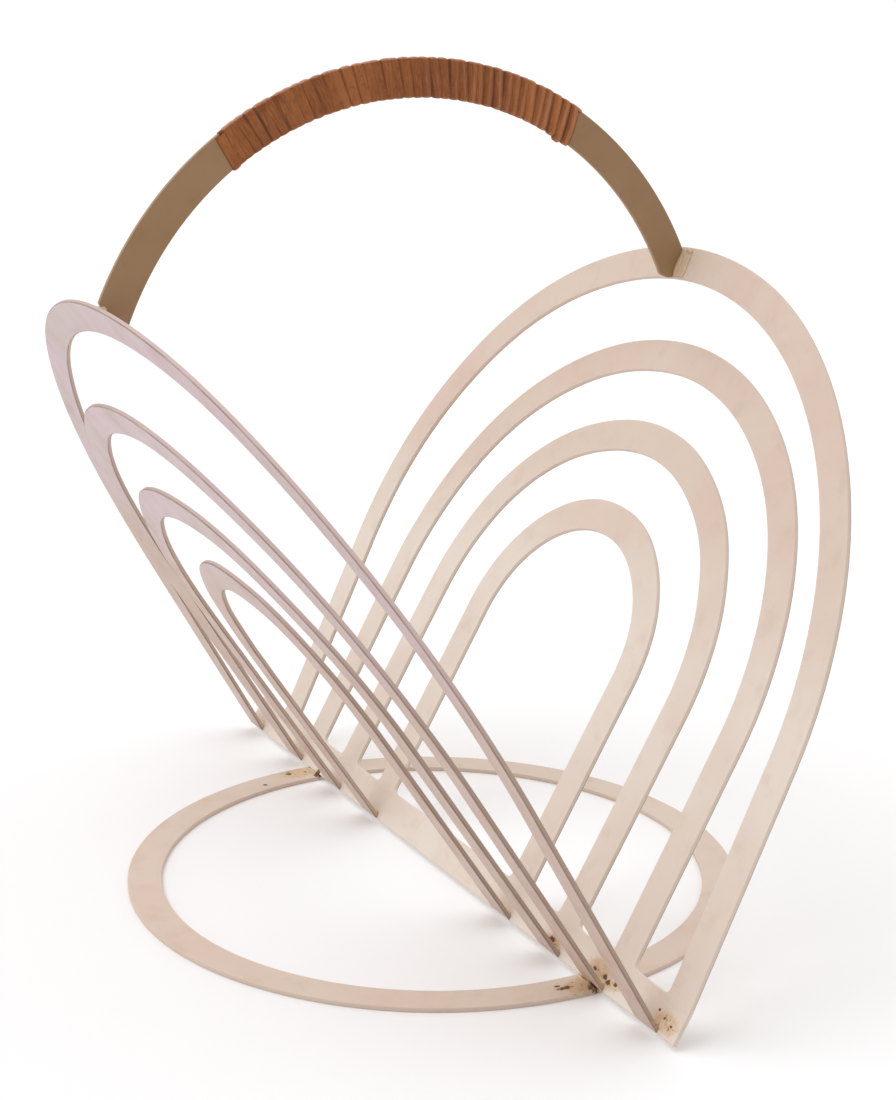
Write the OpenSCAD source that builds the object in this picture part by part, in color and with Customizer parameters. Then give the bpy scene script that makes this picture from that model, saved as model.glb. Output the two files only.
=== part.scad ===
// Magazine rack welded from one size of flat bar. Two fans of nested arches
// rise from a keel bar as a V, a flat ring on the floor carries the keel, and
// an arched handle with a laced leather grip joins the two outer arches.
// Millimetres, Z up, X across the V, Y along the keel. The origin is on the
// floor under the middle of the whole rack.

/* [Flat bar] */
// Width of the flat bar that every steel piece is made of
bar_w = 19; // [16:1:21]
// Thickness of the flat bar
bar_t = 2.5; // [2:0.5:3]

/* [Base ring] */
// Outer radius of the ring on the floor
ring_r = 172; // [165:1:180]

/* [Keel and arches] */
// Length of the keel bar along the bottom of the V
keel_length = 500; // [496:1:508]
// Outer radius of the right outer arch, which ends flush with the keel's front end
right_outer_r = 233.5; // [230:0.5:238]
// Outer radius of the left outer arch, which ends flush with the keel's rear end
left_outer_r = 243; // [240:0.5:248]
// Outer radius of the second arch of each fan
second_r = 188; // [184:0.5:192]
// Outer radius of the third arch of each fan
third_r = 139; // [135:0.5:143]
// Outer radius of the inner arch of each fan
inner_r = 88.5; // [80:0.5:92]
// Height of the right outer arch's centre above the keel line, up the slope
right_outer_leg = 144; // [138:0.5:150]
// Height of the left outer arch's centre above the keel line, up the slope
left_outer_leg = 137; // [131:0.5:143]
// Height of the other arches' centres above the keel line, up the slope
inner_leg = 140.5; // [130:0.5:146]
// Angle by which the right outer arch leans in from the plane of its fan
right_outer_lean = 5.1; // [3:0.1:6]
// Angle by which the left outer arch leans in from the plane of its fan
left_outer_lean = 4.1; // [3:0.1:6]
// Angle by which the second arches lean in from the plane of their fan
second_lean = 1; // [0:0.1:2]
// Distance of the right second arch in front of the keel's middle
right_second_front = 12; // [8:0.5:16]
// Distance of the left second arch behind the keel's middle
left_second_back = 0.5; // [-2:0.5:4]
// Distance of the right third and inner arches in front of the keel's middle
right_inner_front = 9; // [4:0.5:14]
// Distance of the left third and inner arches in front of the keel's middle
left_inner_front = 6; // [0:0.5:10]

/* [V shape] */
// Angle of each fan from the middle plane of the V
fan_tilt = 32; // [29:0.5:34]
// Angle by which the whole V leans left of upright on its ring
v_lean = 1.8; // [0:0.1:3]
// Distance of the keel line to the right of the ring's middle
keel_right = 3; // [0:0.5:6]
// Distance of the keel's middle behind the ring's middle
keel_back = 10; // [0:1:16]

/* [Handle] */
// Outer radius of the handle's arc
handle_r = 191; // [188:1:194]
// Height of the arc's centre above the keel line
handle_rise = 257; // [253:1:260]
// Distance of the arc's centre to the left of the V's middle plane
handle_left = 5; // [0:1:8]
// Angle of the arc that the grip covers
grip_angle = 69; // [50:1:80]
// Thickness of the leather lace round the bar
grip_skin = 1.5; // [1:0.25:2.5]

/* [Welds] */
// Leg of the weld beads
bead = 3; // [2:0.5:3.5]

/* [Hidden] */

paint = [0.87, 0.79, 0.72];
shaded_paint = [0.58, 0.47, 0.36];
leather = [0.60, 0.36, 0.22];

$fn = 180;
gap = 0.1;                // room left for the weld between two pieces
touch = 0.02;             // clearance of a bead from the faces it lies on
right_tilt = fan_tilt - v_lean;
left_tilt = fan_tilt + v_lean;

// The left fan's outer faces meet the keel's inner face just above its lower edge.
keel_low = -bar_t / 2 * tan(fan_tilt) - gap;
keel_top = keel_low + bar_w;
right_foot = keel_top + gap + bar_t / 2 * sin(right_outer_lean);

// The keel's lower corner stands on the ring.
keel_z = bar_t + bar_t / 2 * sin(right_tilt) - keel_low * cos(right_tilt) + touch;

// Each arch: outer radius, height of its centre, lean, place of its middle along the keel.
right_arches = [
    [right_outer_r, right_outer_leg, right_outer_lean, right_outer_r - keel_length / 2],
    [second_r, inner_leg, second_lean, -right_second_front],
    [third_r, inner_leg, 0, -right_inner_front],
    [inner_r, inner_leg, 0, -right_inner_front]];
left_arches = [
    [left_outer_r, left_outer_leg, left_outer_lean, keel_length / 2 - left_outer_r],
    [second_r, inner_leg, second_lean, left_second_back],
    [third_r, inner_leg, 0, -left_inner_front],
    [inner_r, inner_leg, 0, -left_inner_front]];

function arch_size(side, i) = side < 0 ? left_arches[i] : right_arches[i];
function foot(side) = side < 0 ? 0 : right_foot;

left_reach = (left_outer_leg + left_outer_r) * sin(left_tilt - left_outer_lean)
    + bar_t / 2 * cos(left_tilt - left_outer_lean);
keel_x = (left_reach - ring_r + keel_right) / 2;

// Frames: the V stands on the keel line, and each fan's own +X faces outwards.
module v_frame() {
    translate([keel_x, 0, keel_z]) rotate([0, -v_lean, 0]) children();
}

module fan_frame(side) {
    v_frame() mirror([side < 0 ? 1 : 0, 0, 0]) rotate([0, fan_tilt, 0]) children();
}

// Frame at the middle of an arch's feet, leaning in with the arch.
module arch_frame(side, i) {
    a = arch_size(side, i);
    fan_frame(side) translate([0, a[3], foot(side)]) rotate([0, -a[2], 0]) children();
}

// Arch of flat bar in the YZ plane. Its legs reach down by the given depth below its feet.
module arch_bar(r, leg, depth) {
    rotate([90, 0, 90]) linear_extrude(height = bar_t, center = true) {
        translate([0, leg]) difference() {
            circle(r);
            circle(r - bar_w);
            translate([-r - 1, -r - 1]) square([2 * r + 2, r + 1]);
        }
        for (x = [-r, r - bar_w]) translate([x, -depth]) square([bar_w, leg + depth]);
    }
}

// Right arches stand square on the keel's top edge.
module right_arch(i) {
    a = right_arches[i];
    color(paint) arch_frame(1, i) arch_bar(a[0], a[1] - right_foot, 0);
}

// Left arches are cut to lie on the keel's inner face.
module left_arch(i) {
    a = left_arches[i];
    color(paint) difference() {
        arch_frame(-1, i) arch_bar(a[0], a[1], bar_w / 2);
        fan_frame(1) translate([-bar_t / 2 - gap, -keel_length, -2 * bar_w])
            cube([2 * bar_w, 2 * keel_length, 3 * bar_w]);
    }
}

module base_ring() {
    color(paint) translate([keel_x - keel_right, -keel_back, 0]) difference() {
        cylinder(r = ring_r, h = bar_t);
        translate([0, 0, -1]) cylinder(r = ring_r - bar_w, h = bar_t + 2);
    }
}

module keel_bar() {
    color(paint) fan_frame(1)
        translate([-bar_t / 2, -keel_length / 2, keel_low]) cube([bar_t, keel_length, bar_w]);
}

module right_outer_arch() { right_arch(0); }
module right_second_arch() { right_arch(1); }
module right_third_arch() { right_arch(2); }
module right_inner_arch() { right_arch(3); }
module left_outer_arch() { left_arch(0); }
module left_second_arch() { left_arch(1); }
module left_third_arch() { left_arch(2); }
module left_inner_arch() { left_arch(3); }

// Frame of the handle's arc, whose centre is the origin and whose plane is XY.
module handle_frame() {
    v_frame() translate([-handle_left, 0, handle_rise]) rotate([90, 0, 0]) children();
}

// Height of an outer arch's inner edge above its own feet, at the top.
function crown(side) = arch_size(side, 0)[1] + arch_size(side, 0)[0] - bar_w - foot(side);

// Everything on the far side of an outer arch's inner face, and the corner
// that would hang well below the arch's inner edge.
module handle_trim(side) {
    face_x = -bar_t / 2 - gap;
    corner = 25;
    arch_frame(side, 0) {
        translate([face_x, -handle_r, 0]) cube([handle_r, 2 * handle_r, 3 * handle_r]);
        translate([face_x - corner, -handle_r, crown(side) - 3 * corner - 3])
            cube([2 * corner, 2 * handle_r, 3 * corner]);
    }
}

module handle_bar() {
    color(shaded_paint) difference() {
        handle_frame() linear_extrude(height = bar_t, center = true) difference() {
            circle(handle_r);
            circle(handle_r - bar_w);
            translate([-handle_r - 1, -handle_r - 1]) square([2 * handle_r + 2, handle_r + 1]);
        }
        handle_trim(-1);
        handle_trim(1);
    }
}

// Section of the grip: the bar's section with its corners cut, grown by a skin.
module grip_section(skin) {
    x = bar_w / 2 + skin;
    y = bar_t / 2 + skin;
    cut = skin * 0.8;
    polygon([[x - cut, -y], [x, cut - y], [x, y - cut], [x - cut, y],
        [cut - x, y], [-x, y - cut], [-x, cut - y], [cut - x, -y]]);
}

module handle_grip() {
    color(leather) handle_frame() rotate([0, 0, 90 - grip_angle / 2])
        rotate_extrude(angle = grip_angle) translate([handle_r - bar_w / 2, 0]) difference() {
            grip_section(grip_skin);
            square([bar_w + 2 * touch, bar_t + 2 * touch], center = true);
        }
}

// Beads either side of the keel where it crosses the ring.
module ring_weld(end) {
    outer_x = keel_low * sin(right_tilt) + bar_t / 2 * cos(right_tilt);
    inner_x = keel_low * sin(right_tilt) - bar_t / 2 * cos(right_tilt);
    under = bar_t * sin(right_tilt) - touch;
    color(paint) translate([keel_x, end * (ring_r - bar_w / 2) - keel_back, bar_t + touch])
        rotate([90, 0, 0]) linear_extrude(height = bar_w - 3, center = true) {
            translate([outer_x, 0])
                polygon([[2 * touch, 0], [bead, 0], [bead * sin(right_tilt), bead * cos(right_tilt)]]);
            polygon([[inner_x - 0.8 * bead, 0], [inner_x + 0.2 * bead, 0], [inner_x, 0.8 * under]]);
        }
}

module ring_weld_front() { ring_weld(-1); }
module ring_weld_rear() { ring_weld(1); }

// Hollow corner fillet in the YZ plane, filling the corner towards +Y and +Z.
module corner_fillet() {
    rotate([90, 0, 90]) linear_extrude(height = bar_t - 2 * touch, center = true) difference() {
        square(bead);
        translate([bead, bead]) circle(bead);
    }
}

// Fillets where the right arches' feet stand on the keel's top edge.
module right_foot_welds() {
    color(paint) fan_frame(1) translate([0, 0, keel_top + touch])
        for (i = [0:3], end = [-1, 1]) {
            a = right_arches[i];
            translate([0, a[3], 0]) mirror([0, end < 0 ? 1 : 0, 0]) {
                translate([0, a[0] - bar_w - touch, 0]) mirror([0, 1, 0]) corner_fillet();
                if (i > 0 || end > 0) translate([0, a[0] + touch, 0]) corner_fillet();
            }
        }
}

// Beads inside the V where the left arches' feet meet the keel.
module left_foot_welds() {
    for (i = [0:3], end = [0, 1]) {
        a = left_arches[i];
        between = 2 * fan_tilt - a[2];
        clear = bar_t / 2 + touch;
        corner = [-clear, clear / tan(between / 2)];
        color(paint) arch_frame(-1, i) mirror([0, end, 0]) translate([0, a[0] - 1, 0])
            rotate([90, 0, 0]) linear_extrude(height = bar_w - 2)
                polygon([corner, corner + [0, bead], corner + bead * [-sin(between), cos(between)]]);
    }
}

// Beads on both faces of the handle where it meets an outer arch.
module handle_weld(side) {
    length = bar_w - 8;
    color(paint) arch_frame(side, 0)
        translate([-bar_t / 2 - touch, -arch_size(side, 0)[3], crown(side) + 1]) for (face = [0, 1])
            mirror([0, face, 0]) translate([0, bar_t / 2 + touch, 0])
                linear_extrude(height = length) intersection() {
                    circle(bead);
                    translate([-bead, 0]) square(bead);
                }
}

module handle_weld_right() { handle_weld(1); }
module handle_weld_left() { handle_weld(-1); }

base_ring();
keel_bar();
right_outer_arch();
right_second_arch();
right_third_arch();
right_inner_arch();
left_outer_arch();
left_second_arch();
left_third_arch();
left_inner_arch();
handle_bar();
handle_grip();
ring_weld_front();
ring_weld_rear();
right_foot_welds();
left_foot_welds();
handle_weld_right();
handle_weld_left();
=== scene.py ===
"""Looks for the magazine rack: aged paint on flat bar, weld beads and a wound leather lace.

Everything is in metres in the CAD frame. The constants below repeat the driving dimensions of
the part. Radii, lengths and places along the keel come from the boxes of the CAD nodes.
"""
import math

import bmesh
import bpy
from mathutils import Matrix, Vector, noise


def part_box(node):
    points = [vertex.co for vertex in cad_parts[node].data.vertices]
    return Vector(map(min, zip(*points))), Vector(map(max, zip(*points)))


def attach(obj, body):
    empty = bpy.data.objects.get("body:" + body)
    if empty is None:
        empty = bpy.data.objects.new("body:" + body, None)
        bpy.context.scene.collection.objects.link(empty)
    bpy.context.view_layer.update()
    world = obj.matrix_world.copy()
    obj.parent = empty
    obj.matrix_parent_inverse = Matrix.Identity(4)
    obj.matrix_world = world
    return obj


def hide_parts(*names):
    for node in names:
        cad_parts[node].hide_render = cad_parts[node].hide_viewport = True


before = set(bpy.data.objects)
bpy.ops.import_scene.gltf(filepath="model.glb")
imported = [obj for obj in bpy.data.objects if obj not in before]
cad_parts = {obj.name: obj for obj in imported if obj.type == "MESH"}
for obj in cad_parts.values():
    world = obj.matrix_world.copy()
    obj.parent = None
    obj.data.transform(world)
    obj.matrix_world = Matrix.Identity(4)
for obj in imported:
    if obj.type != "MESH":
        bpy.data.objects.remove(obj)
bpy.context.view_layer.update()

MM = 0.001
# driving dimensions of the part
BAR_W, BAR_T = 19 * MM, 2.5 * MM
GAP, TOUCH = 0.1 * MM, 0.02 * MM
FAN_TILT, V_LEAN = math.radians(32), math.radians(1.8)
KEEL_RIGHT, KEEL_BACK = 3 * MM, 10 * MM
HANDLE_R, HANDLE_RISE, HANDLE_LEFT = 191 * MM, 257 * MM, 5 * MM
GRIP_ANGLE = math.radians(69)        # angle of the handle's arc that the lace covers
# side and kind of arch: (height of its centre up the slope, its lean)
ARCHES = {
    (1, "outer_arch"): (144 * MM, math.radians(5.1)),
    (1, "second_arch"): (140.5 * MM, math.radians(1)),
    (1, "third_arch"): (140.5 * MM, 0.0),
    (1, "inner_arch"): (140.5 * MM, 0.0),
    (-1, "outer_arch"): (137 * MM, math.radians(4.1)),
    (-1, "second_arch"): (140.5 * MM, math.radians(1)),
    (-1, "third_arch"): (140.5 * MM, 0.0),
    (-1, "inner_arch"): (140.5 * MM, 0.0),
}
# arches whose bar was twisted as it was bent: (twist in front, twist at the rear, how far the
# rear leg bows into the V)
TWISTS = {
    (-1, "outer_arch"): (math.radians(3.6), math.radians(3.6), 0.0),
    (-1, "second_arch"): (math.radians(1.5), math.radians(8), 2 * MM),
}

ring_lo, ring_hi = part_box("base_ring")
RING_R = (ring_hi.y - ring_lo.y) / 2
RING_X = (ring_lo.x + ring_hi.x) / 2
KEEL_X = RING_X + KEEL_RIGHT
RIGHT_TILT = FAN_TILT - V_LEAN
KEEL_LOW = -BAR_T / 2 * math.tan(FAN_TILT) - GAP
KEEL_Z = BAR_T + BAR_T / 2 * math.sin(RIGHT_TILT) - KEEL_LOW * math.cos(RIGHT_TILT) + TOUCH
OUTER_LEAN = ARCHES[1, "outer_arch"][1]
FOOT = {1: KEEL_LOW + BAR_W + GAP + BAR_T / 2 * math.sin(OUTER_LEAN), -1: 0.0}
SIDE_NAME = {1: "right_", -1: "left_"}

V_FRAME = Matrix.Translation((KEEL_X, 0, KEEL_Z)) @ Matrix.Rotation(-V_LEAN, 4, "Y")
MIRROR_X = Matrix.Diagonal((-1, 1, 1, 1))
FAN = {
    1: V_FRAME @ Matrix.Rotation(FAN_TILT, 4, "Y"),
    -1: V_FRAME @ MIRROR_X @ Matrix.Rotation(FAN_TILT, 4, "Y"),
}


def arch_span(side, kind):
    """Outer radius of an arch and the place of its middle along the keel."""
    lo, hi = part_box(SIDE_NAME[side] + kind)
    return (hi.y - lo.y) / 2, (hi.y + lo.y) / 2


def arch_matrix(side, kind):
    """Frame of an arch: Y along the keel, Z up the slope from the feet, X out of the V."""
    return (FAN[side] @ Matrix.Translation((0, arch_span(side, kind)[1], FOOT[side]))
            @ Matrix.Rotation(-ARCHES[side, kind][1], 4, "Y"))


def crown(side):
    """Height of an outer arch's inner edge above its feet, at the top."""
    return ARCHES[side, "outer_arch"][0] + arch_span(side, "outer_arch")[0] - BAR_W - FOOT[side]


def wobble(value, seed, size):
    """Smooth random number from -size to size."""
    return size * noise.noise(Vector((value, seed * 7.31, seed * 3.17)))


def hump(value, middle, width):
    """1 at the middle, falling off smoothly to 0 over a few widths."""
    return math.exp(-((value - middle) / width) ** 2)


def between(low, high, value):
    """Value, held between low and high."""
    return min(high, max(low, value))


# ---------------------------------------------------------------- meshes

def add_piece(name, replaced, verts, faces, layers, uv=None):
    """New mesh piece that stands in for a CAD node. layers holds point attributes by name."""
    mesh = bpy.data.meshes.new(name)
    mesh.from_pydata([tuple(v) for v in verts], [], faces)
    for layer, values in layers.items():
        mesh.attributes.new(layer, "FLOAT", "POINT").data.foreach_set("value", values)
    if uv:
        data = mesh.uv_layers.new(name="lace").data
        for loop in mesh.loops:
            data[loop.index].uv = uv[loop.vertex_index]
    bm = bmesh.new()
    bm.from_mesh(mesh)
    bmesh.ops.recalc_face_normals(bm, faces=bm.faces)
    for face in bm.faces:
        face.smooth = True
    bm.to_mesh(mesh)
    bm.free()
    mesh.set_sharp_from_angle(angle=math.radians(40))
    obj = bpy.data.objects.new(name, mesh)
    bpy.context.scene.collection.objects.link(obj)
    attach(obj, "root")
    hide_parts(replaced)
    return obj


class Shell:
    """Collects swept closed tubes, which become one mesh."""

    def __init__(self):
        self.verts, self.faces, self.rim, self.side = [], [], [], []

    def sweep(self, rings, marks, closed=False, ladder=False):
        """rings: lists of points of one length. marks: (rim, side) per point of a ring.

        ladder closes the ends of a bar with strips across its thickness, for folded ends.
        """
        start, n = len(self.verts), len(rings[0])
        for ring in rings:
            self.verts += ring
            self.rim += [m[0] for m in marks]
            self.side += [m[1] for m in marks]
        for i in range(len(rings) if closed else len(rings) - 1):
            a, b = start + i * n, start + (i + 1) % len(rings) * n
            for j in range(n):
                k = (j + 1) % n
                self.faces.append((a + j, a + k, b + k, b + j))
        if closed:
            return
        for first in (start, start + (len(rings) - 1) * n):
            if ladder:
                m = n - 2
                self.faces.append((first + n - 1, first, first + m))
                self.faces += [(first + j, first + j + 1, first + m - j - 1, first + m - j)
                               for j in range(m // 2 - 1)]
                self.faces.append((first + m // 2 - 1, first + m // 2, first + m // 2 + 1))
            else:
                self.faces.append(tuple(range(first, first + n)))

    def piece(self, name, replaced):
        return add_piece(name, replaced, self.verts, self.faces,
                         {"rim": self.rim, "side": self.side})


def bar_profile(across=6, dark_rim=True):
    """Flat bar's section with rounded corners: [(u, v)] and [(rim, side)] marks.

    u runs across the bar's width and v through its thickness. The rim mark is set on the
    corners of the face towards +v and the side mark on the two narrow faces.
    """
    arris, lip, steps = 0.45 * MM, 0.3 * MM, 4
    u0, v0 = BAR_W / 2 - arris, BAR_T / 2 - arris
    points, marks = [], []
    for quarter, (su, sv) in enumerate(((1, 1), (-1, 1), (-1, -1), (1, -1))):
        for k in range(steps + 1):
            a = math.radians(90 * (quarter + k / steps))
            points.append((su * u0 + arris * math.cos(a), sv * v0 + arris * math.sin(a)))
            marks.append((1.0 if dark_rim and sv > 0 else 0.0, abs(math.cos(a))))
        if quarter % 2 == 0:
            for k in range(across):
                points.append((su * (u0 - lip) * (1 - 2 * k / (across - 1)), sv * BAR_T / 2))
                marks.append((0.0, 0.0))
        else:
            points.append((su * BAR_W / 2, 0))
            marks.append((0.0, 1.0))
    return points, marks


def arch_path(radius, low, leg, seed):
    """Centre line of an arch: [(point, outward direction, ease at the feet, share to the rear)]."""
    per_leg, per_bend = 14, 88
    uneven_out, uneven_across = 0.4 * MM, 0.6 * MM
    mid, path = radius - BAR_W / 2, []
    steps = [(-1, low + (leg - low) * k / per_leg) for k in range(per_leg)]
    steps += [(0, math.pi * k / per_bend) for k in range(per_bend + 1)]
    steps += [(1, leg - (leg - low) * k / per_leg) for k in range(1, per_leg + 1)]
    for i, (part, value) in enumerate(steps):
        if part:
            out = Vector((0, part, 0))
            point = Vector((0, part * mid, value))
        else:
            out = Vector((0, -math.cos(value), math.sin(value)))
            point = Vector((0, 0, leg)) + mid * out
        ease = min(1, min(i, len(steps) - 1 - i) / per_leg)
        point += out * wobble(i * 0.11, seed, uneven_out) * ease
        point.x += wobble(i * 0.07, seed + 40, uneven_across) * ease
        path.append((point, out, ease, i / (len(steps) - 1)))
    return path


def on_keel_face(point, along):
    """Point moved in a direction until it lies on the keel's inner face."""
    into = FAN[1].inverted()
    start, step = into @ point, into.to_3x3() @ along
    return point + along * (-BAR_T / 2 - GAP - start.x) / step.x


def build_arch(side, kind, seed):
    """Arch of flat bar. The left arches' ends are cut to lie on the keel's inner face."""
    matrix = arch_matrix(side, kind)
    leg = ARCHES[side, kind][0]
    front_twist, rear_twist, bow = TWISTS.get((side, kind), (0.0, 0.0, 0.0))
    profile, marks = bar_profile()
    start = 0.0 if side > 0 else 3 * MM      # the left legs' slanting cut is added below this
    path = arch_path(arch_span(side, kind)[0], start, leg - FOOT[side], seed)
    rings = []
    for point, out, ease, along in path:
        rear = between(0.0, 1.0, 2.2 * along - 0.9)      # 0 on the front leg, 1 on the rear leg
        twist = ease * (front_twist * (1 - rear) + rear_twist * rear)
        point.x -= bow * rear * ease
        c, s = math.cos(twist), math.sin(twist)
        rings.append([matrix @ (point + (u * c - v * s) * out + Vector((u * s + v * c, 0, 0)))
                      for u, v in profile])
    if side < 0:
        down = matrix.to_3x3() @ Vector((0, 0, -1))
        rings = ([[on_keel_face(p, down) for p in rings[0]]] + rings
                 + [[on_keel_face(p, down) for p in rings[-1]]])
    shell = Shell()
    shell.sweep(rings, marks)
    return shell.piece(SIDE_NAME[side] + kind + "_painted", SIDE_NAME[side] + kind)


def build_ring():
    profile, marks = bar_profile(dark_rim=False)
    around, uneven, rings = 160, 0.5 * MM, []
    for i in range(around):
        a = 2 * math.pi * i / around
        out = Vector((math.cos(a), math.sin(a), 0))
        wave = uneven * noise.noise(Vector((out.x * 1.6, out.y * 1.6, 4)))
        centre = Vector((RING_X, -KEEL_BACK, BAR_T / 2)) + out * (RING_R - BAR_W / 2 + wave)
        rings.append([centre + u * out + Vector((0, 0, v)) for u, v in profile])
    shell = Shell()
    shell.sweep(rings, marks, closed=True)
    return shell.piece("base_ring_painted", "base_ring")


def build_keel():
    lo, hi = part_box("keel_bar")
    profile, marks = bar_profile(dark_rim=False)
    steps, rings = 60, []
    for i in range(steps + 1):
        y = lo.y + (hi.y - lo.y) * i / steps
        rings.append([FAN[1] @ Vector((v, y, KEEL_LOW + BAR_W / 2 + u)) for u, v in profile])
    shell = Shell()
    shell.sweep(rings, marks)
    return shell.piece("keel_bar_painted", "keel_bar")


# ---------------------------------------------------------------- handle

# Its local X runs to the right, Y to the rear and Z up from the centre of the arc.
HANDLE = V_FRAME @ Matrix.Translation((-HANDLE_LEFT, 0, HANDLE_RISE))
HANDLE_MID = HANDLE_R - BAR_W / 2
LACE_CORNER = 0.9 * MM               # radius that the lace bends to at the bar's corners
# unevenness of the lace: (waves per turn, seed, size)
LACE_UNEVEN = {
    "width": (0.8, 11, 0.05),
    "thickness": (0.9, 13, 0.16),
    "ripples": (4, 14, 0.06),
    "top edge": (1.3, 15, 0.14),
    "place": (0.9, 16, 0.4),
    "tone": (0.35, 21, 0.6),
    "blotches": (1.1, 22, 0.45),
    # the wear entry sets where the painted highlight on the turns' ridges shows strongly
    "wear": (0.6, 23, 0.5),
}


def on_arc(radius, angle, back):
    """Point of the handle at a radius and an angle from its top."""
    return HANDLE @ Vector((radius * math.sin(angle), back, radius * math.cos(angle)))


def handle_end(side, radius):
    """Angle from the top of the arc at which a fibre of that radius ends on the outer arch.

    The lower corner is rounded off just below the arch's inner edge.
    """
    into = arch_matrix(side, "outer_arch").inverted()
    face_x, corner = -BAR_T / 2 - GAP, 3.5 * MM
    bend = crown(side) + 2 * MM
    low, high = math.radians(30), math.radians(95)       # the end is searched for in here
    for _ in range(40):
        a = (low + high) / 2
        p = into @ on_arc(radius, side * a, 0)
        below = max(0.0, bend - p.z)
        limit = face_x - BAR_W
        if below < corner:
            limit = face_x - corner + math.sqrt(corner ** 2 - below ** 2)
        if p.x < limit:
            low = a
        else:
            high = a
    return low


def build_handle():
    profile, marks = bar_profile(across=10)
    ends = {(side, u): handle_end(side, HANDLE_MID + u) for side in (1, -1) for u, _ in profile}
    steps, rings = 96, []
    for i in range(steps + 1):
        t = i / steps
        rings.append([on_arc(HANDLE_MID + u, ends[1, u] * t - ends[-1, u] * (1 - t), v)
                      for u, v in profile])
    shell = Shell()
    shell.sweep(rings, marks, ladder=True)
    return shell.piece("handle_bar_painted", "handle_bar")


def section_point(q, half_u, half_v, corner):
    """Point and outward normal at share q of the way round a rounded rectangle."""
    side_u, side_v = half_u - corner, half_v - corner
    arc = math.pi / 2 * corner
    lengths = [2 * side_u, arc, 2 * side_v, arc] * 2
    d = q % 1.0 * sum(lengths)
    index = 0
    while d > lengths[index] and index < 7:
        d -= lengths[index]
        index += 1
    turned = 1 if index < 4 else -1
    if index % 4 == 0:
        point, normal = (side_u - d, half_v), (0, 1)
    elif index % 4 == 2:
        point, normal = (-half_u, side_v - d), (-1, 0)
    else:
        cu, cv, first = (-side_u, side_v, 90) if index % 4 == 1 else (-side_u, -side_v, 180)
        a = math.radians(first) + d / corner
        normal = (math.cos(a), math.sin(a))
        point = (cu + corner * normal[0], cv + corner * normal[1])
    return (turned * point[0], turned * point[1]), (turned * normal[0], turned * normal[1])


def lace_surface(t, skin):
    """Point and normal of the wrapped handle's section after t turns, a skin above the bar.

    Turns run down the front face, from the outer edge inwards, and back up behind.
    """
    (u, v), (nu, nv) = section_point(t, BAR_W / 2 + skin, BAR_T / 2 + skin, LACE_CORNER)
    return (u, -v), (nu, -nv)


def uneven(t, what):
    """Unevenness of the lace after t turns."""
    waves, seed, size = LACE_UNEVEN[what]
    return wobble(t * waves, seed, size)


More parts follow.
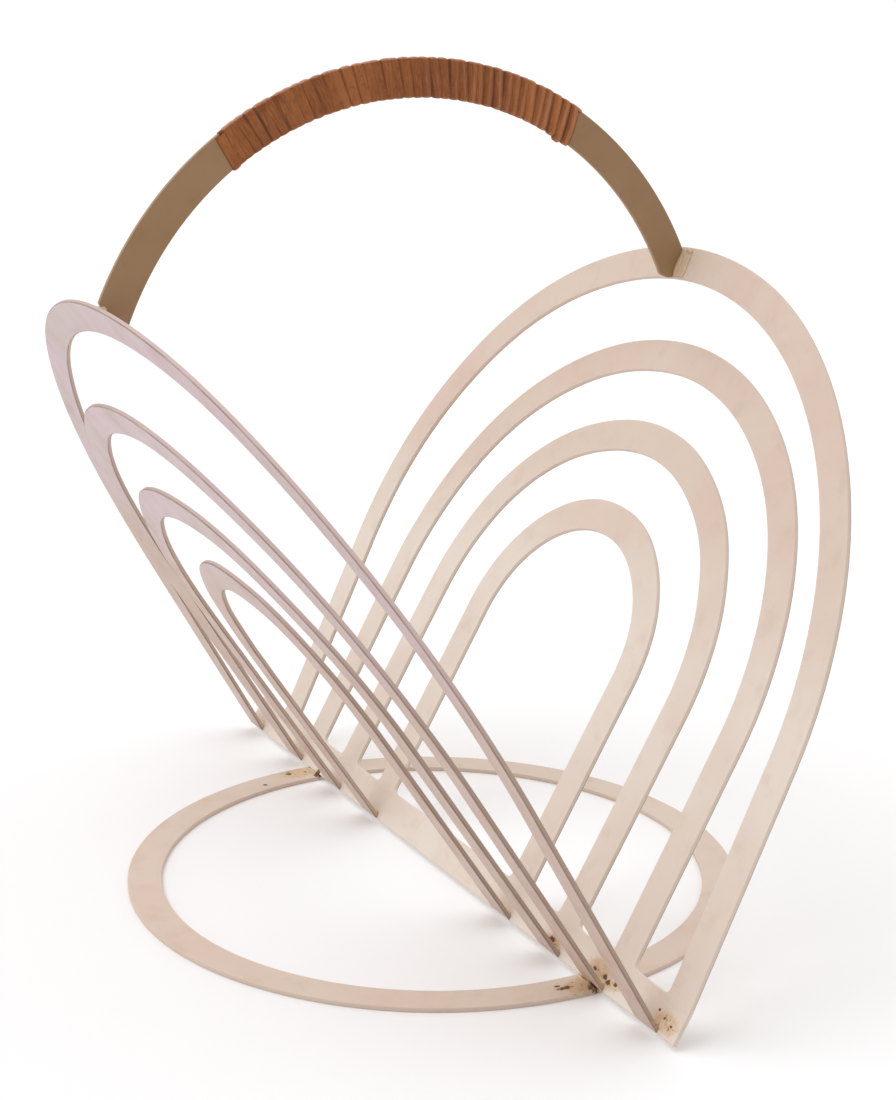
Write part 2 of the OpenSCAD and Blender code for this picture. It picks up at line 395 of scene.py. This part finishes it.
def build_lace():
    """One flat lace wound round the middle of the handle over a thin dark sleeve, painted shade that
    shows between the turns.
    """
    turns, per_turn, clear = 40, 40, 0.05 * MM
    slant_mid, slant_end = 1, 6.5            # degrees off square to the handle
    grain_per_turn = 0.46
    length = HANDLE_MID * GRIP_ANGLE
    pitch = length / turns
    across = [-1, -0.96, -0.85, -0.6, -0.2, 0.2, 0.6, 0.85, 0.96, 1]
    under = [0.9, 0.0, -0.9]
    verts, faces, uv = [], [], []
    layers = {"tone": [], "rim": [], "crest": [], "ridge_highlight": []}
    n = len(across) + len(under)
    steps = turns * per_turn

    def add_point(u, v, place, at, shade, rim, crest, ridge_highlight):
        slant = math.tan(math.radians(slant_mid + slant_end * (2 * place / length)))
        verts.append(on_arc(HANDLE_MID + u, (place - u * slant) / HANDLE_MID, v))
        for values, value in zip(layers.values(), (shade, rim, crest, ridge_highlight)):
            values.append(value)
        uv.append(at)

    for i in range(steps + 1):
        t = i / per_turn
        (u, v), (nu, nv) = lace_surface(t, clear)
        top, bottom = max(0.0, nu), max(0.0, -nu)
        half = pitch * (0.55 + uneven(t, "width"))
        wedge = hump(t, 1.02, 0.22)                      # dark gap after the first turn
        lump = hump(t, turns - 1.5, 0.8) + 0.35 * hump(t, 0.5, 0.4)      # tucked-in ends
        thick = (0.88 + uneven(t, "thickness") + uneven(t, "ripples")) * MM
        thick += top * (0.15 + uneven(t, "top edge")) * MM + lump * bottom * 1.7 * MM
        edge = length / 2 - half * 0.95
        place = t * pitch - length / 2 + (uneven(t, "place") + 0.22 * wedge) * pitch
        place = between(-edge, edge, place)
        # tone of each turn varies at random; its lighter turns partly stand for painted highlights
        shade = 0.5 + uneven(t, "tone") + uneven(t, "blotches")
        # share of the painted highlight on each turn's ridge, stronger towards the last turns
        ridge_highlight_share = between(0.1, 1.0, t / turns * 1.5 - 0.45 + uneven(t, "wear"))
        # rim darkens each turn towards its edges, painted shade in the creases between turns
        for s in across:
            rise = clear + thick * (1 - abs(s) ** 4) ** 0.5 * (1 - 0.15 * s * s)
            reach = s * half * (1 - 0.5 * wedge) if s < 0 else s * half
            add_point(u + nu * rise, v + nv * rise, place + reach,
                      (t * grain_per_turn, s * 0.5 + 0.5), shade, s * s, top,
                      ridge_highlight_share * (1 - abs(s - 0.2)))
        # the lace's underside, dark as painted shade
        for s in under:
            add_point(u - nu * TOUCH, v - nv * TOUCH, place + s * half,
                      (t * grain_per_turn, s * 0.5 + 0.5), 0.2, 1.0, 0.0, 0.0)
        if i:
            a, b = (i - 1) * n, i * n
            faces += [(a + j, a + (j + 1) % n, b + (j + 1) % n, b + j) for j in range(n)]
    faces.append(tuple(range(n - 1, -1, -1)))
    faces.append(tuple(range(steps * n, steps * n + n)))

    # dark sleeve under the lace, painted shade seen as a dark line between the turns
    start, around, lengths, skin = len(verts), 48, 90, 0.45 * MM
    for i in range(lengths + 1):
        place = (i / lengths - 0.5) * (length - pitch)
        for j in range(around):
            (u, v), _ = section_point(j / around, BAR_W / 2 + skin, BAR_T / 2 + skin, LACE_CORNER)
            add_point(u, v, place, (0.0, 0.0), 0.0, 1.0, 0.0, 0.0)
        if i:
            a, b = start + (i - 1) * around, start + i * around
            faces += [(a + j, a + (j + 1) % around, b + (j + 1) % around, b + j)
                      for j in range(around)]
    last = start + lengths * around
    faces.append(tuple(range(start + around - 1, start - 1, -1)))
    faces.append(tuple(range(last, last + around)))
    return add_piece("leather_lace", "handle_grip", verts, faces, layers, uv)


# ---------------------------------------------------------------- welds

def bead(shell, matrix, start, end, wide, seed, tall=None, across=(1, 0, 0)):
    """Lumpy bead of weld metal along a straight seam, given in the matrix's frame.

    wide is its half size in the direction across and tall the other half size.
    """
    ripple_pitch, lump_pitch, step_length, around = 1.5 * MM, 4 * MM, 0.45 * MM, 14
    start, end, across = Vector(start), Vector(end), Vector(across)
    tall = tall or wide
    up = (end - start).normalized().cross(across)
    length = (end - start).length
    steps = max(10, int(length / step_length))
    rings = []
    for i in range(steps + 1):
        t = i / steps
        dome = math.sqrt(max(0.0, 1 - (2 * t - 1) ** 6)) * 0.97 + 0.03
        ripple = 1 + 0.06 * math.sin(t * length / ripple_pitch * 2 * math.pi)
        lump = 1 + wobble(t * length / lump_pitch, seed, 0.35)
        ring = []
        for j in range(around):
            c, s = math.cos(2 * math.pi * j / around), math.sin(2 * math.pi * j / around)
            grain = 1 + 0.14 * noise.noise(Vector((t * 14, c * 1.5, s * 1.5 + seed)))
            size = dome * ripple * lump * grain
            ring.append(matrix @ (start + (end - start) * t
                                  + across * c * wide * size + up * s * tall * size))
        rings.append(ring)
    shell.sweep(rings, [(0.0, 0.0)] * around)


def build_ring_weld(end_name, seed):
    """Beads either side of the keel on the ring."""
    lo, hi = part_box("ring_weld_" + end_name)
    shell = Shell()
    # (place across, start and end along the keel, height above the ring, half size)
    runs = ((hi.x - 2.2 * MM, lo.y - 1 * MM, hi.y + 1 * MM, 0.3 * MM, 1.6 * MM),
            (lo.x + 2 * MM, lo.y - 1.5 * MM, hi.y + 0.5 * MM, 0.1 * MM, 1.2 * MM))
    for k, (x, first, last, above, wide) in enumerate(runs):
        z = BAR_T + above
        bead(shell, Matrix.Identity(4), (x, first, z), (x, last, z), wide, seed + k)
    return shell.piece("ring_weld_bead_" + end_name, "ring_weld_" + end_name)


def foot_outline(inner, outer, outer_fillet):
    """Outline of the weld metal round a right arch's foot: [(y, z)] in the fan's plane."""
    fillet, deep, above, steps = 3.4 * MM, 4.5 * MM, 3.5 * MM, 8
    z0 = KEEL_LOW + BAR_W
    angles = [math.pi / 2 * k / steps for k in range(steps + 1)]
    curve = [(fillet * math.sin(a), fillet * (1 - math.cos(a))) for a in angles]
    points = [(inner - fillet, z0 - deep)] + [(inner - fillet + y, z0 + z) for y, z in curve]
    points += [(inner + TOUCH, z0 + fillet + above), (outer - TOUCH, z0 + fillet + above)]
    if outer_fillet:
        points += [(outer + fillet - y, z0 + z) for y, z in reversed(curve)]
        points.append((outer + fillet, z0 - deep))
    else:
        points.append((outer, z0 - deep))
    return points


def build_right_foot_welds():
    """Ground-down welds that run the right arches' feet into the keel with rounded corners."""
    shell, half = Shell(), BAR_T / 2
    proud, skin, feather = 0.05 * MM, 0.12 * MM, 2.2 * MM
    # layers through the thickness: (place, inset of the outline)
    layers = ((-half - proud, feather), (-half + skin, 0), (0, 0), (half - skin, 0),
              (half + proud, feather))
    for side, kind in ARCHES:
        if side < 0:
            continue
        radius, middle = arch_span(side, kind)
        lean = math.sin(ARCHES[side, kind][1])
        for end in (-1, 1):
            flush = kind == "outer_arch" and end < 0
            outline = foot_outline(radius - BAR_W, radius, not flush)
            centre_y = sum(y for y, _ in outline) / len(outline)
            centre_z = sum(z for _, z in outline) / len(outline)
            rings = []
            for x, inset in layers:
                ring = []
                for y, z in outline:
                    away = Vector((y - centre_y, z - centre_z)).normalized() * inset
                    y, z = y - away.x, z - away.y
                    in_lean = max(0.0, z - FOOT[1]) * lean
                    ring.append(FAN[1] @ Vector((x - in_lean, middle + end * y, z)))
                rings.append(ring)
            shell.sweep(rings, [(0.0, 0.0)] * len(outline))
    return shell.piece("right_foot_weld_metal", "right_foot_welds")


WELD_X = -BAR_T / 2 - 0.2 * MM       # beads' middle lines, just inside the arches' inner faces


def build_left_foot_welds():
    """Beads inside the V at the left arches' feet."""
    shell, seed = Shell(), 70
    short, above, half_size = 0.8 * MM, 0.5 * MM, 1.5 * MM
    for side, kind in ARCHES:
        if side > 0:
            continue
        radius = arch_span(side, kind)[0]
        z = BAR_T / 2 / math.tan(FAN_TILT - ARCHES[side, kind][1] / 2) + above
        for end in (-1, 1):
            bead(shell, arch_matrix(side, kind), (WELD_X, end * (radius - BAR_W + short), z),
                 (WELD_X, end * (radius - short), z), half_size, seed)
            seed += 2
    return shell.piece("left_foot_weld_metal", "left_foot_welds")


# in millimetres, flat runs of weld side by side at a handle end: (distance from the handle's
# middle, half size, height), and the bead along their top: (start, end, drop at its start, half
# size, seed)
HANDLE_WELDS = {
    1: (((2.6, 2.2, 1.1), (5.6, 2.4, 0.8), (8.6, 2.2, 0.55)), (-10.5, -5, 1, 1.5, 98)),
    -1: (((2.9, 2.1, 1.0),), (-3, 3.5, 0, 1.6, 99)),
}


def build_handle_weld(side):
    """Weld metal on the outer arch's inner face, in front of and behind the handle's end."""
    name = "handle_weld_" + SIDE_NAME[side][:-1]
    arch = arch_matrix(side, "outer_arch")
    shell, middle, low = Shell(), -arch_span(side, "outer_arch")[1], crown(side)
    runs, (first, last, drop, wide, seed) = HANDLE_WELDS[side]
    for face in (-1, 1):
        for k, (away, half_size, tall) in enumerate(runs if face < 0 else runs[:1]):
            y = middle + face * away * MM
            bead(shell, arch, (WELD_X, y, low + 0.8 * MM),
                 (WELD_X, y, low + BAR_W - (1.2 + 0.4 * k) * MM), half_size * MM,
                 90 + face + side * 3 + 5 * k, tall=tall * MM, across=(0, 1, 0))
    z = low + BAR_W - 1.8 * MM
    bead(shell, arch, (WELD_X, middle + first * MM, z - drop * MM),
         (WELD_X, middle + last * MM, z), wide * MM, seed)
    return shell.piece(name + "_bead", name)


# ---------------------------------------------------------------- materials

class Nodes:
    """Short way to write a node tree."""

    def __init__(self, tree):
        self.tree = tree
        tree.nodes.clear()

    def put(self, socket, value):
        if isinstance(value, bpy.types.NodeSocket):
            self.tree.links.new(value, socket)
        else:
            socket.default_value = value

    def add(self, kind, inputs, **settings):
        node = self.tree.nodes.new(kind)
        for key, value in settings.items():
            setattr(node, key, value)
        for key, value in inputs.items():
            self.put(node.inputs[key], value)
        return node

    def place(self):
        return self.add("ShaderNodeTexCoord", {}).outputs["Object"]

    def layer(self, name):
        return self.add("ShaderNodeAttribute", {}, attribute_name=name).outputs["Fac"]

    def noise(self, vector, scale, detail=3.0, rough=0.55):
        node = self.add("ShaderNodeTexNoise", {
            "Vector": vector, "Scale": scale, "Detail": detail, "Roughness": rough})
        return node.outputs["Fac"]

    def math(self, operation, a, b=0.0, clamp=False):
        node = self.add("ShaderNodeMath", {0: a, 1: b}, operation=operation, use_clamp=clamp)
        return node.outputs[0]

    def spread(self, value, low, high, out_low=0.0, out_high=1.0):
        node = self.add("ShaderNodeMapRange", {
            "Value": value, "From Min": low, "From Max": high, "To Min": out_low,
            "To Max": out_high}, interpolation_type="SMOOTHSTEP")
        return node.outputs["Result"]

    def mix(self, factor, a, b):
        node = self.add("ShaderNodeMix", {}, data_type="RGBA")
        self.put(node.inputs[0], factor)
        self.put(node.inputs[6], a)
        self.put(node.inputs[7], b)
        return node.outputs[2]

    def veil(self, colour, over, cover, low, high, amount=1.0):
        """Colour with another laid over it, by up to an amount, where cover goes up to high."""
        return self.mix(self.spread(cover, low, high, 0.0, amount), colour, over)

    def patch(self, where, ragged, centre, size, noise_share):
        """1 inside a ragged blot round a centre, 0 outside. size: half sizes in millimetres."""
        scale = [1 / (s * MM) for s in size]
        moved = self.add("ShaderNodeMapping", {
            "Vector": where, "Scale": scale,
            "Location": [-c * k for c, k in zip(centre, scale)]}).outputs[0]
        away = self.add("ShaderNodeVectorMath", {0: moved}, operation="LENGTH").outputs["Value"]
        away = self.math("ADD", away, self.math("MULTIPLY", ragged, noise_share))
        return self.spread(away, 0.8 + noise_share / 2, 1.25 + noise_share / 2, 1.0, 0.0)

    def finish(self, colour, rough, height, strength, distance, specular):
        bump = self.add("ShaderNodeBump", {
            "Height": height, "Strength": strength, "Distance": distance})
        shader = self.add("ShaderNodeBsdfPrincipled", {
            "Base Color": colour, "Roughness": rough, "Normal": bump.outputs["Normal"],
            "Specular IOR Level": specular})
        self.add("ShaderNodeOutputMaterial", {"Surface": shader.outputs[0]})


def new_nodes(name):
    """New material and the writer of its node tree."""
    material = bpy.data.materials.new(name)
    material.use_nodes = True
    return material, Nodes(material.node_tree)


def tone(r, g, b):
    """Linear colour from 0-255 sRGB."""
    return tuple((c / 255 / 12.92) if c <= 10 else ((c / 255 + 0.055) / 1.055) ** 2.4
                 for c in (r, g, b)) + (1.0,)


# middles of the ring's bar where the keel crosses it
FRONT_Y = -KEEL_BACK - RING_R + BAR_W / 2
REAR_Y = -KEEL_BACK + RING_R - BAR_W / 2


def on_keel(y, height):
    """Place on the keel's inner face, y and height up the slope in millimetres."""
    return FAN[1] @ Vector((-BAR_T / 2, y * MM, height * MM))


def on_ring(right, back, y_mid):
    """Place on top of the ring, right of and behind a crossing of the keel in millimetres."""
    return Vector((KEEL_X + right * MM, y_mid + back * MM, BAR_T))


# blots of stained paint and dark chips: (centre, half size in X, Y and Z in millimetres)
STAINS = [
    (on_ring(-6, -2, FRONT_Y), (10, 8, 3)),
    (on_ring(-11, 2, REAR_Y), (10, 8, 3)),
    (on_keel(-239, 6), (6, 9, 5)),
    (on_keel(-186, 8), (8, 17, 6)),
    (on_keel(-135, 4), (5, 7, 4)),
]
CHIPS = [
    (on_ring(-14.5, -0.7, FRONT_Y), (4, 1.5, 2)),
    (on_ring(-17, 2.5, FRONT_Y), (1.6, 0.9, 2)),
    # the next two dark spots lie where the keel crosses the ring, partly rust and partly painted
    # shade of the gap under the keel
    (on_ring(-1.5, -7, FRONT_Y), (2.6, 3, 4)),
    (on_ring(-1.5, -7, REAR_Y), (2.4, 2.4, 4)),
    (on_ring(-17, 3, REAR_Y), (1.6, 1.4, 2)),
    (on_ring(-37.7, -7, REAR_Y), (1.7, 1.2, 2)),
    (on_keel(-134, 4.8), (2.4, 2.6, 1.7)),
    (on_keel(-138.5, 3), (2, 1.9, 1.2)),
    (on_keel(-130, 3.2), (2, 1.4, 0.9)),
    (on_keel(-174.5, 6.7), (2, 1.5, 1)),
    (on_keel(-184.4, 6.1), (2, 2, 1.2)),
    (on_keel(-188.4, 4.6), (2, 1.7, 1.1)),
    (on_keel(-193.8, 5.9), (2, 1.3, 1)),
    (on_keel(-231, 9.4), (1.6, 0.9, 0.6)),
    (on_keel(-236.5, 7.4), (1.6, 0.8, 0.5)),
    (on_keel(-243, 6), (1.6, 0.9, 0.6)),
    (on_keel(183, 1.5), (2, 1.8, 1.2)),
]
STAIN_TONE, CHIP_TONE = tone(205, 168, 118), tone(112, 78, 54)
STAIN_RAGGED, CHIP_RAGGED = 1.6, 2.6
LOW_TONE_TOP, HIGH_TONE_START = 0.15, 0.24       # heights between which the low and high tones blend: painted light and shade by height
SIDE_BLEND = 0.04            # the narrow faces' painted light changes this far before and behind the middle

# scales of the paint's noises, in waves per metre
TONE_EDGE, CLOUDS, BLOTCHES, GRAIN, RIM_BREAKS = 20, 14, 60, 420, 40
ORANGE_PEEL, BRUSHED, RAGGED, SPECKS, FLAKES = 900, 130, 300, 560, 650


def paint(name, tones_by_height, rim_amount, wear=True, rear_side_painted_light=None):
    """Aged enamel: clouded flat faces, narrow faces with painted light and shade of their own, a
    dark line along one rim and listed wear.

    tones_by_height: colours (face, cloud, shade, narrow faces, rim) for low down and, if it differs
    there, for high up on the rack; the two sets are one paint, with painted light and shade by
    height.
    rear_side_painted_light: colour of the narrow faces at the rear, painted light unlike the front.
    """
    material, n = new_nodes(name)
    where, rim, side = n.place(), n.layer("rim"), n.layer("side")
    split = n.add("ShaderNodeSeparateXYZ", {"Vector": where}).outputs
    ragged_z = n.math("ADD", split["Z"], n.math("MULTIPLY", n.noise(where, TONE_EDGE, 2.0), 0.03))
    # blend from the low to the high tones, a ragged line of painted light and shade by height
    high = n.spread(ragged_z, LOW_TONE_TOP, HIGH_TONE_START)
    face, cloud, shade, side_painted_light, rim_colour = (
        tones_by_height[0] if len(tones_by_height) == 1 else [n.mix(high, low, up) for low, up in zip(*tones_by_height)])
    if rear_side_painted_light:
        side_painted_light = n.veil(side_painted_light, rear_side_painted_light, split["Y"], -SIDE_BLEND, SIDE_BLEND)

    colour = n.veil(face, cloud, n.noise(where, CLOUDS, 2.0), 0.4, 0.62)
    colour = n.veil(colour, shade, n.noise(where, BLOTCHES, 4.0, 0.6), 0.5, 0.75, 0.4)
    colour = n.veil(colour, shade, n.noise(where, GRAIN, 3.0, 0.65), 0.62, 0.8, 0.15)
    # narrow faces take their own colour: painted light and shade by the way they face
    colour = n.mix(n.math("MULTIPLY", side, 0.85), colour, side_painted_light)
    # darker line along the rim of the +v face, broken up by noise
    rim_line = n.spread(n.noise(where, RIM_BREAKS, 4.0, 0.6), 0.35, 0.6, 0.6, 1.0)
    rim_line = n.math("MULTIPLY", rim_line, n.spread(rim, 0.5, 1.0, 0, rim_amount))
    colour = n.mix(rim_line, colour, rim_colour)

    relief = n.math("MULTIPLY", n.noise(where, ORANGE_PEEL, 2.0), 0.2)
    relief = n.math("ADD", relief, n.math("MULTIPLY", n.noise(where, BRUSHED, 3.0), 0.5))
    rough = n.spread(n.noise(where, BLOTCHES, 3.0), 0.3, 0.7, 0.42, 0.58)
    if wear:
        ragged, specks = n.noise(where, RAGGED, 4.0, 0.65), n.noise(where, SPECKS, 3.0, 0.6)
        flaked = n.noise(where, FLAKES, 4.0, 0.7)
        stain = chip = 0.0
        for centre, size in STAINS:
            stain = n.math("MAXIMUM", stain, n.patch(where, ragged, centre, size, STAIN_RAGGED))
        for centre, size in CHIPS:
            chip = n.math("MAXIMUM", chip, n.patch(where, flaked, centre, size, CHIP_RAGGED))
        colour = n.mix(n.math("MULTIPLY", stain, n.spread(ragged, 0.3, 0.65, 0.2, 0.8)), colour,
                       STAIN_TONE)
        speck = n.math("MULTIPLY", n.spread(specks, 0.63, 0.68), stain)
        pits = n.math("MAXIMUM", chip, speck)
        colour = n.mix(pits, colour, CHIP_TONE)
        relief = n.math("SUBTRACT", relief, pits)
        relief = n.math("ADD", relief, n.math("MULTIPLY", n.math("MULTIPLY", stain, specks), 1.5))
        rough = n.math("ADD", rough, n.math("MULTIPLY", n.math("MAXIMUM", chip, stain), 0.25), True)
    n.finish(colour, rough, relief, 0.25, 0.4 * MM, 0.35)
    return material


def leather():
    """Worn leather: grain along the lace, dark scuffs, painted highlights along the top edges and on
    the ridges, painted shade in the seams between turns.
    """
    deep, light, streak_tone = tone(128, 71, 31), tone(155, 92, 48), tone(184, 122, 78)
    scuff_tone, top_highlight_tone = tone(104, 56, 25), tone(206, 152, 126)
    ridge_highlight_tone, seam_shade_tone = tone(190, 126, 88), tone(84, 42, 20)
    scuffs, fading, pores, polish = 260, 38, 2600, 300       # scales of noises, waves per metre
    material, n = new_nodes("leather_lace")
    where, shade, rim, crest = n.place(), n.layer("tone"), n.layer("rim"), n.layer("crest")
    along = n.add("ShaderNodeUVMap", {}, uv_map="lace").outputs["UV"]
    stretched = n.add("ShaderNodeMapping", {"Vector": along, "Scale": (6.0, 9.0, 1.0)}).outputs[0]
    streaks = n.noise(stretched, 1.8, 4.0, 0.65)
    colour = n.veil(deep, light, shade, 0.15, 0.85)
    colour = n.veil(colour, streak_tone, streaks, 0.45, 0.7, 0.6)
    colour = n.veil(colour, scuff_tone, n.noise(where, scuffs, 4.0, 0.65), 0.5, 0.72, 0.5)
    # painted highlight along the lace's top edges
    top_highlight = n.math("MULTIPLY", n.spread(crest, 0.3, 0.9), n.spread(streaks, 0.3, 0.6, 0.35, 0.9))
    colour = n.mix(top_highlight, colour, top_highlight_tone)
    # painted highlight on the ridge of each turn
    ridge_highlight = n.spread(n.layer("ridge_highlight"), 0.25, 0.95, 0, 0.75)
    ridge_highlight = n.math("MULTIPLY", ridge_highlight, n.spread(streaks, 0.3, 0.6, 0.4, 1.0))
    colour = n.mix(ridge_highlight, colour, ridge_highlight_tone)
    # painted shade in the seams between turns, faded in places
    seam = n.spread(n.math("ADD", rim, n.math("MULTIPLY", streaks, 0.3)), 0.55, 1.15, 0, 0.9)
    faded = n.spread(n.noise(where, fading, 2.0), 0.38, 0.62, 0.1, 0.8)
    colour = n.mix(n.math("MULTIPLY", seam, faded), colour, seam_shade_tone)
    relief = n.math("ADD", n.math("MULTIPLY", n.noise(where, pores, 2.0), 0.35),
                    n.math("MULTIPLY", streaks, 0.65))
    rough = n.spread(n.noise(where, polish, 3.0), 0.3, 0.7, 0.45, 0.62)
    n.finish(colour, rough, relief, 0.4, 0.3 * MM, 0.25)
    return material


# ---------------------------------------------------------------- build

# colours in each list: face, cloud, shade, narrow faces (painted light and shade), rim
CREAM = [tone(214, 196, 181), tone(213, 191, 176), tone(201, 177, 160), tone(212, 193, 178),
         tone(142, 118, 102)]
cream = paint("cream_paint", [CREAM], 0.85)
# Right fan, keel and right feet: the low tones are lighter than the cream, painted light that makes
# up for the shade low down.
cream_lightened_low = paint("cream_paint_right_fan_painted_light", [
    [tone(224, 212, 200), tone(222, 207, 194), tone(208, 189, 172), tone(214, 200, 186),
     tone(150, 128, 110)], CREAM], 0.85)
weld_paint = paint("weld_paint", [
    [tone(210, 188, 160), tone(200, 175, 145), tone(176, 148, 116), tone(196, 170, 138),
     tone(150, 120, 92)]], 0.4)
# Left fan: the same cream painted as seen in shade, pinker and darker from bounce light on its under
# side, darker still on the narrow faces low down.
cream_in_shade_left = paint("cream_paint_left_fan_painted_shade", [
    [tone(203, 180, 168), tone(199, 174, 160), tone(184, 158, 142), tone(165, 143, 128),
     tone(142, 114, 102)],
    [tone(206, 184, 187), tone(202, 184, 180), tone(190, 166, 164), tone(205, 183, 178),
     tone(150, 124, 118)]], 0.9, rear_side_painted_light=tone(184, 163, 148))
# Handle: darker than the cream, partly painted shade and painted reflection of a dark room on its
# front face, partly a browner tone of its own; its narrow faces are lighter, painted light.
shaded_khaki = paint("handle_paint", [
    [tone(156, 124, 90), tone(150, 118, 84), tone(136, 104, 74), tone(170, 140, 110),
     tone(116, 90, 66)]], 0.4, wear=False)
lace_material = leather()


def dress(obj, material):
    """Give a piece its material."""
    obj.data.materials.clear()
    obj.data.materials.append(material)


for seed, (side, kind) in enumerate(ARCHES, 1):
    dress(build_arch(side, kind, seed), cream_lightened_low if side > 0 else cream_in_shade_left)
dress(build_ring(), cream)
for obj in (build_keel(), build_right_foot_welds()):
    dress(obj, cream_lightened_low)
for obj in (build_ring_weld("front", 31), build_ring_weld("rear", 33), build_left_foot_welds()):
    dress(obj, weld_paint)
dress(build_handle(), shaded_khaki)
for side in (1, -1):
    dress(build_handle_weld(side), weld_paint)
dress(build_lace(), lace_material)
for name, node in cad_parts.items():
    node.data.materials.clear()
    node.data.materials.append(shaded_khaki if name == "handle_bar" else cream)

# ---------------------------------------------------------------- studio

FLOOR_RADIUS, FLOOR_COLOUR = 60, (0.92, 0.92, 0.93, 1)
SKY_WHITE, SKY_DARK, SKY_STRENGTH = (1.0, 1.0, 1.0, 1), (0.45, 0.41, 0.37, 1), 1.02
DARK_AXIS = (-0.3, -0.95, -0.05)
SUN_POWER, SUN_SPREAD, SUN_DIRECTION = 0.8, math.radians(50), (0.45, -0.2, -1)
CAMERA_PLACE = (-0.54050, -1.02003, 0.51257)
CAMERA_TURN = (74.2942, -0.6678, -28.6227)       # degrees
CAMERA_LENS, CAMERA_SENSOR = 71.4268, 36

floor_material, n = new_nodes("studio_floor")
shader = n.add("ShaderNodeBsdfPrincipled", {
    "Base Color": FLOOR_COLOUR, "Roughness": 0.9, "Specular IOR Level": 0.1})
n.add("ShaderNodeOutputMaterial", {"Surface": shader.outputs[0]})
bm = bmesh.new()
bmesh.ops.create_circle(bm, cap_ends=True, segments=96, radius=FLOOR_RADIUS)
floor_mesh = bpy.data.meshes.new("studio_floor")
bm.to_mesh(floor_mesh)
bm.free()
floor_mesh.materials.append(floor_material)
floor = bpy.data.objects.new("studio_floor", floor_mesh)
bpy.context.scene.collection.objects.link(floor)

# white all round and overhead, darker in front so that faces towards the viewer fall off
world = bpy.data.worlds.new("studio")
bpy.context.scene.world = world
world.use_nodes = True
n = Nodes(world.node_tree)
toward = n.add("ShaderNodeTexCoord", {}).outputs["Generated"]
front = n.add("ShaderNodeVectorMath", {0: toward, 1: DARK_AXIS}, operation="DOT_PRODUCT")
dark = n.spread(front.outputs["Value"], 0.1, 0.95)
sky = n.mix(dark, SKY_WHITE, SKY_DARK)
background = n.add("ShaderNodeBackground", {"Color": sky, "Strength": SKY_STRENGTH})
n.add("ShaderNodeOutputWorld", {"Surface": background.outputs[0]})

sun_data = bpy.data.lights.new("soft_sun", "SUN")
sun_data.energy, sun_data.angle = SUN_POWER, SUN_SPREAD
sun = bpy.data.objects.new("soft_sun", sun_data)
sun.rotation_euler = Vector(SUN_DIRECTION).to_track_quat("-Z", "Y").to_euler()
bpy.context.scene.collection.objects.link(sun)

camera_data = bpy.data.cameras.new("camera")
camera = bpy.data.objects.new("camera", camera_data)
camera.location = CAMERA_PLACE
camera.rotation_euler = [math.radians(a) for a in CAMERA_TURN]
camera_data.lens = CAMERA_LENS
camera_data.sensor_width = CAMERA_SENSOR
bpy.context.scene.collection.objects.link(camera)
bpy.context.scene.camera = camera
bpy.context.scene.view_settings.view_transform = "Standard"
